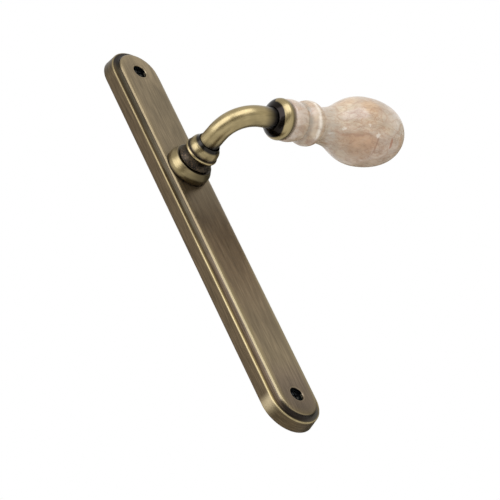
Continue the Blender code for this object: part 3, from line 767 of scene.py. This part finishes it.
def ferrule_finish():
    """A black flare with a gold rim and band."""
    f = Finish("antique_brass_ferrule", 0.32)
    out = f.sub(f.h, GRIP_H)
    radius = f.radius(out, f.z)
    angle = f.math("ARCTAN2", f.z, out)
    lines = f.ring_noise(f.x, 1.0, 5.0, angle)
    gold = f.bright(GOLD, f.step(lines, 0.25, 0.75, 0.85, 1.15))
    # the flare is black: further out on the side towards the door, all over on top
    top = f.band(angle, 0.94, 2.7, 0.14)
    reach = f.step(f.math("DIVIDE", out, radius), 0.75, -0.3, 9.0, 10.1)
    reach = f.add(reach, f.mul(top, 2.6))
    rub = f.step(f.add(f.sub(radius, reach), f.mul(f.sub(lines, 0.5), 0.6)), -0.35, 0.3)
    front = f.math("MAXIMUM", rub, f.step(f.sub(f.x, f.mul(top, 3.4)), 29.2, 29.8))
    colour = f.mix(front, BLACK, gold)
    # painted shade: the band darkens towards its rear side
    colour = f.bright(colour, f.step(f.x, 30.3, 31.9, 1.0, 0.5))
    f.colour(f.mix(f.step(f.x, 32.0, 32.6), colour, BROWN))
    f.rough(f.step(front, 0.2, 0.8, 0.17, 0.295))
    f.bump(lines, 0.06)
    return f.mat


def screw_finish():
    """Nearly black: painted shade, as the screws are in their deep holes."""
    f = Finish("shaded_brass_screw", 0.48)
    cloud = f.noise(scale=0.9, detail=3.0, offset=4.0)
    f.colour(f.mix(f.step(cloud, 0.35, 0.65), (0.016, 0.017, 0.017), (0.040, 0.044, 0.043)))
    return f.mat


def dark_brass_finish():
    """Brass toned dark, for pieces inside."""
    f = Finish("dark_brass_plain", 0.38)
    cloud = f.noise(scale=0.5, detail=3.0, offset=9.0)
    f.colour(f.mix(f.step(cloud, 0.3, 0.7), (0.07, 0.055, 0.034), (0.13, 0.102, 0.062)))
    return f.mat


def steel_finish(name, dark, light, rough):
    """Bare metal, a little clouded between a dark and a light tone."""
    f = Finish(name, rough)
    cloud = f.noise(scale=0.6, detail=4.0, offset=2.0)
    f.colour(f.mix(f.step(cloud, 0.3, 0.7), dark, light))
    return f.mat


def plain_finish(name, dark, light, rough, scale):
    """The same for what isn't metal, with clouds of a chosen size."""
    f = Finish(name, rough, 0.0)
    cloud = f.noise(scale=scale, detail=4.0, offset=6.0)
    f.colour(f.mix(f.step(cloud, 0.3, 0.7), dark, light))
    return f.mat


# the marble's clouds: centre, radii, colour and amount
PEACH = (0.475, 0.312, 0.172)
UMBER = (0.35, 0.222, 0.12)
RUST = (0.27, 0.135, 0.072)
AMBER = (0.45, 0.264, 0.146)
CLOUDS = (
    ((72.0, -68.0, 3.0), (9.0, 8.0, 10.0), (0.54, 0.44, 0.30), 0.7),
    ((86.0, -73.0, 1.0), (10.0, 9.0, 9.0), PEACH, 0.75),
    ((98.0, -67.0, -5.0), (9.0, 9.0, 8.0), (0.44, 0.40, 0.32), 0.6),
    ((76.0, -66.0, 9.0), (12.0, 9.0, 6.0), PEACH, 0.5),
    ((77.0, -57.0, -18.0), (16.0, 12.0, 8.0), UMBER, 0.6),
    ((84.0, -62.0, -15.5), (8.5, 9.0, 6.5), AMBER, 0.68),
    ((74.0, -64.0, -13.0), (10.0, 9.0, 4.0), UMBER, 0.7),
    ((38.5, -60.0, -9.0), (4.0, 4.0, 4.5), UMBER, 0.6),
    ((50.0, -53.0, -12.0), (6.0, 6.0, 4.0), RUST, 0.55),
)
# its hair veins: scale, offset, width and amount
NETS = (
    (0.075, 71.0, 0.014, 0.36), (0.12, 83.0, 0.02, 0.4),
    (0.2, 97.0, 0.026, 0.36), (0.31, 113.0, 0.03, 0.32),
)
# its pale flecks: centre and radius
FLECKS = (
    ((68.3, -63.4, -8.4), 1.5), ((60.3, -59.6, -9.6), 1.7), ((81.5, -70.2, -9.6), 1.3),
    ((80.4, -67.5, -13.4), 1.2), ((86.8, -67.6, -14.2), 2.0), ((90.0, -68.0, -13.0), 1.5),
    ((65.8, -67.6, 4.5), 1.6),
)


def marble_ground(f, warp, small):
    """Cream, beige and pink, in zones along the grip, with clouds over them."""
    big = f.noise((1.0, 1.0, 1.5), 0.05, 4.0, 0.55, 12.0, 0.8)
    colour = f.mix(f.step(big, 0.35, 0.62), (0.42, 0.333, 0.232), (0.495, 0.386, 0.258))
    colour = f.mix(f.mul(f.step(small, 0.42, 0.72), 0.5), colour, (0.43, 0.312, 0.222))
    # the shank end is pale, the waist and the far end are grey, the underside is pink
    colour = f.mix(f.mul(f.step(f.x, 48.0, 36.0), 0.65), colour, (0.50, 0.410, 0.325))
    colour = f.mix(f.mul(f.band(f.x, 57.0, 66.0, 5.0), 0.55), colour, (0.415, 0.362, 0.285))
    colour = f.mix(f.mul(f.step(f.x, 92.0, 106.0), 0.68), colour, (0.455, 0.405, 0.338))
    colour = f.mix(f.mul(f.step(f.z, -11.0, -18.0), 0.45), colour, (0.47, 0.350, 0.275))
    # painted shade in the groove, and a painted highlight band on the bead
    colour = f.mix(f.mul(f.band(f.x, 43.2, 46.0, 1.0), 0.7), colour, (0.240, 0.214, 0.158))
    colour = f.mix(f.mul(f.band(f.x, 49.0, 51.0, 1.0), 0.75), colour, (0.80, 0.72, 0.58))
    for centre, radii, tint, amount in CLOUDS:
        edge = f.add(f.blob(centre, radii), f.mul(f.sub(warp, 0.5), 1.2))
        colour = f.mix(f.mul(f.step(edge, 0.12, 0.7), amount), colour, tint)
    return colour


def marble_veins(f, warp, colour):
    """The colour with the long vein, the hair veins, an edge vein and a rust mark."""
    bend = f.mul(f.sub(warp, 0.5), 3.2)
    # height over the long vein, which slants down towards the far end
    over = f.add(f.add(f.z, f.mul(f.sub(f.x, 69.4), 0.262)), f.add(bend, 10.4))
    # under it the stone is browner
    field = f.blob((76.0, -63.0, -13.5), (16.0, 12.0, 9.0), 0.7)
    under = f.mul(f.step(over, 0.5, -0.6), field)
    colour = f.mix(f.mul(under, 0.75), colour, (0.41, 0.246, 0.132))
    along = f.blob((74.5, -64.0, -11.5), (14.0, 8.0, 7.0), 0.4)
    vein = f.mul(f.step(f.math("ABSOLUTE", over), 0.85, 0.1), along)
    colour = f.mix(f.mul(vein, 0.62), colour, RUST)
    for scale, offset, width, amount in NETS:
        net = f.noise((0.6, 1.0, 1.3), scale, 2.5, 0.5, offset, 0.7)
        net = f.math("ABSOLUTE", f.sub(net, 0.5))
        fade = f.step(f.noise(scale=0.09, detail=2.0, offset=offset + 9.0), 0.40, 0.60)
        colour = f.mix(f.mul(f.mul(f.step(net, width * 4.5, 0.0), fade), 0.3), colour, UMBER)
        colour = f.mix(f.mul(f.mul(f.step(net, width, 0.0), fade), amount), colour, RUST)
    edge = f.math("ABSOLUTE", f.add(f.sub(f.x, 87.3), f.mul(bend, 0.35)))
    edge = f.mul(f.step(edge, 0.8, 0.1), f.blob((87.3, -62.0, -17.0), (3.0, 9.0, 4.5), 0.5))
    colour = f.mix(f.mul(edge, 0.55), colour, RUST)
    mark = f.blob((98.0, -64.6, -15.6), (1.5, 4.5, 3.8), 0.8)
    mark = f.step(f.add(mark, f.mul(f.sub(warp, 0.5), 0.8)), 0.16, 0.6)
    return f.mix(f.mul(mark, 0.8), colour, (0.33, 0.150, 0.080))


def marble_flecks(f, colour):
    """The colour with pale flecks and small brown pits."""
    grain = f.noise(scale=1.1, detail=3.0, rough=0.5, offset=41.0)
    for centre, radius in FLECKS:
        near = f.blob(centre, (radius * 1.4, radius * 1.4, radius))
        fleck = f.add(near, f.mul(f.sub(grain, 0.5), 2.6))
        fleck = f.mul(f.step(fleck, 0.35, 0.8), f.step(near, 0.0, 0.2))
        colour = f.mix(f.mul(fleck, 0.45), colour, (0.74, 0.68, 0.57))
    pit = f.noise(scale=0.35, detail=4.0, rough=0.6, offset=55.0)
    return f.mix(f.mul(f.step(pit, 0.58, 0.74), 0.45), colour, UMBER)


def marble_finish():
    """Polished beige and pink marble with brown clouds and veins."""
    f = Finish("marble_beige", 0.2, 0.0)
    warp = f.noise(scale=0.2, detail=5.0, rough=0.62, offset=3.0)
    small = f.noise((0.6, 1.0, 1.0), 0.26, 5.0, 0.62, 21.0, 0.6)
    colour = marble_veins(f, warp, marble_ground(f, warp, small))
    colour = marble_flecks(f, colour)
    grain = f.noise((0.3, 1.0, 1.4), 0.3, 4.0, 0.55, 63.0)
    shade = f.mul(f.step(grain, 0.3, 0.7, 0.71, 0.86), f.step(f.x, 95.0, 110.0, 1.0, 1.24))
    shade = f.mul(shade, f.step(f.z, 9.0, 18.0, 1.0, 0.93))
    f.colour(f.bright(colour, shade))
    f.rough(f.step(small, 0.3, 0.7, 0.18, 0.26))
    return f.mat


STEEL = steel_finish("zinc_steel", (0.34, 0.34, 0.35), (0.5, 0.5, 0.51), 0.36)
SPRING_STEEL = steel_finish("spring_steel_oiled", (0.14, 0.145, 0.155), (0.22, 0.23, 0.25), 0.3)
NYLON = plain_finish("nylon_natural", (0.66, 0.64, 0.58), (0.74, 0.72, 0.66), 0.5, 0.4)
FIBRE = plain_finish("fibre_brown", (0.105, 0.074, 0.040), (0.150, 0.108, 0.060), 0.8, 1.5)


def clothe(ob, mat):
    """The material on every face of the object."""
    ob.data.materials.clear()
    ob.data.materials.append(mat)
    for face in ob.data.polygons:
        face.material_index = 0


pieces = (
    (backplate, plate_finish(), "plate", "backplate", "antique_brass"),
    (collar, collar_finish(), "plate", "bearing_collar", "antique_brass"),
    (neck, neck_finish(), "lever", "neck_hub", "antique_brass"),
    (arm, arm_finish(), "lever", "lever_arm", "antique_brass"),
    (ferrule, ferrule_finish(), "lever", "grip_ferrule", "antique_brass"),
    (stone, marble_finish(), "lever", "stone_grip", "marble"),
    (screws["top"], screw_finish(), "plate", "fixing_screw_top", "dark_brass"),
    (screws["bottom"], screw_finish(), "plate", "fixing_screw_bottom", "dark_brass"),
)
for ob, mat, body, node, slot in pieces:
    clothe(ob, mat)
    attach(ob, body)
    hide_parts(node)

clothe(spring, SPRING_STEEL)
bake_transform(spring)
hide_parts("return_spring")

# CAD pieces that stay as they are, in these materials
kept = {
    "bearing_bush": NYLON,
    "thrust_washer": dark_brass_finish(),
    "fibre_washer": FIBRE,
    "grip_insert": dark_brass_finish(),
    "circlip": SPRING_STEEL,
    "wave_washer": SPRING_STEEL,
}
steel_nodes = ("grip_stud", "spring_cam", "spring_anchor_pin", "stop_pin_rest")
steel_nodes += ("stop_pin_lowered", "cassette_cover", "cover_screw_upper", "cover_screw_lower")
kept.update(dict.fromkeys(steel_nodes, STEEL))
for name, mat in kept.items():
    clothe(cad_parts[name], mat)

# ---- stage ------------------------------------------------------------------
scene = bpy.context.scene
scene.view_settings.view_transform = "Standard"
world = bpy.data.worlds.new("studio")
scene.world = world
world.use_nodes = True
background = world.node_tree.nodes["Background"]
background.inputs["Color"].default_value = (1.0, 1.0, 1.0, 1.0)
background.inputs["Strength"].default_value = 1.0


LIGHT_TINT = (1.0, 1.06, 1.26)


def stage_material(name, colour):
    """A dull material of one colour."""
    mat = bpy.data.materials.new(name)
    mat.use_nodes = True
    shader = mat.node_tree.nodes["Principled BSDF"]
    shader.inputs["Base Color"].default_value = (*colour, 1.0)
    shader.inputs["Roughness"].default_value = 0.9
    return mat


def direction(az_deg, el_deg):
    """A unit vector; azimuth 0 is straight out of the door and 90 is towards the grip."""
    az, el = math.radians(az_deg), math.radians(el_deg)
    return Vector((math.sin(az) * math.cos(el), -math.cos(az) * math.cos(el), math.sin(el)))


def facing(ob, az_deg, el_deg, distance):
    """Stand the object off from the handle, its local -Z towards the handle."""
    way = direction(az_deg, el_deg)
    ob.location = way * distance
    ob.rotation_euler = way.to_track_quat("Z", "Y").to_euler()


def panel(name, size, colour):
    """A flat rectangle that belongs to the stage."""
    mesh = bpy.data.meshes.new(name)
    x, y = size[0] * 0.5, size[1] * 0.5
    mesh.from_pydata([(-x, -y, 0), (x, -y, 0), (x, y, 0), (-x, y, 0)], [], [(0, 1, 2, 3)])
    ob = bpy.data.objects.new(name, mesh)
    scene.collection.objects.link(ob)
    mesh.materials.append(stage_material(name + "_material", colour))
    return ob


def softbox(name, az_deg, el_deg, distance, width, height, radiance):
    """A cool rectangular light that looks as bright at any size."""
    data = bpy.data.lights.new(name, "AREA")
    data.color = LIGHT_TINT
    data.shape = "RECTANGLE"
    data.size = width
    data.size_y = height
    data.energy = radiance * math.pi * width * height
    ob = bpy.data.objects.new(name, data)
    scene.collection.objects.link(ob)
    facing(ob, az_deg, el_deg, distance)
    ob.visible_camera = False
    return ob


floor = panel("floor", (14.0, 14.0), (0.8, 0.8, 0.79))
floor.location = (0.0, 0.0, -1.3)
# two keys, and cards that only reflections show
softbox("key_left", -82.0, 20.0, 3.0, 3.4, 2.3, 3.2)
softbox("key_front", -14.0, 20.0, 3.0, 3.0, 2.2, 3.0)
card = panel("dark_card", (4.8, 1.25), (0.22, 0.20, 0.155))
facing(card, -62.0, -29.0, 2.2)
side_card = panel("side_card", (3.4, 2.6), (0.13, 0.115, 0.075))
facing(side_card, 108.0, -4.0, 2.4)
for ob in (card, side_card):
    ob.visible_camera = False
    ob.visible_shadow = False
    ob.visible_diffuse = False

# ---- camera: low on the left of the handle, and turned up to it -------------
camera_data = bpy.data.cameras.new("camera")
camera_data.lens = 216.45
camera_data.sensor_width = 36.0
camera = bpy.data.objects.new("camera", camera_data)
scene.collection.objects.link(camera)
spot = Vector((-1.04704, -0.84968, -0.83955))
right = Vector((0.72955, -0.56753, -0.38166)).normalized()
back = Vector((-0.67922, -0.53585, -0.50153)).normalized()
up = back.cross(right).normalized()
right = up.cross(back).normalized()
camera.matrix_world = Matrix(
    (
        (right.x, up.x, back.x, spot.x),
        (right.y, up.y, back.y, spot.y),
        (right.z, up.z, back.z, spot.z),
        (0.0, 0.0, 0.0, 1.0),
    )
)
scene.camera = camera
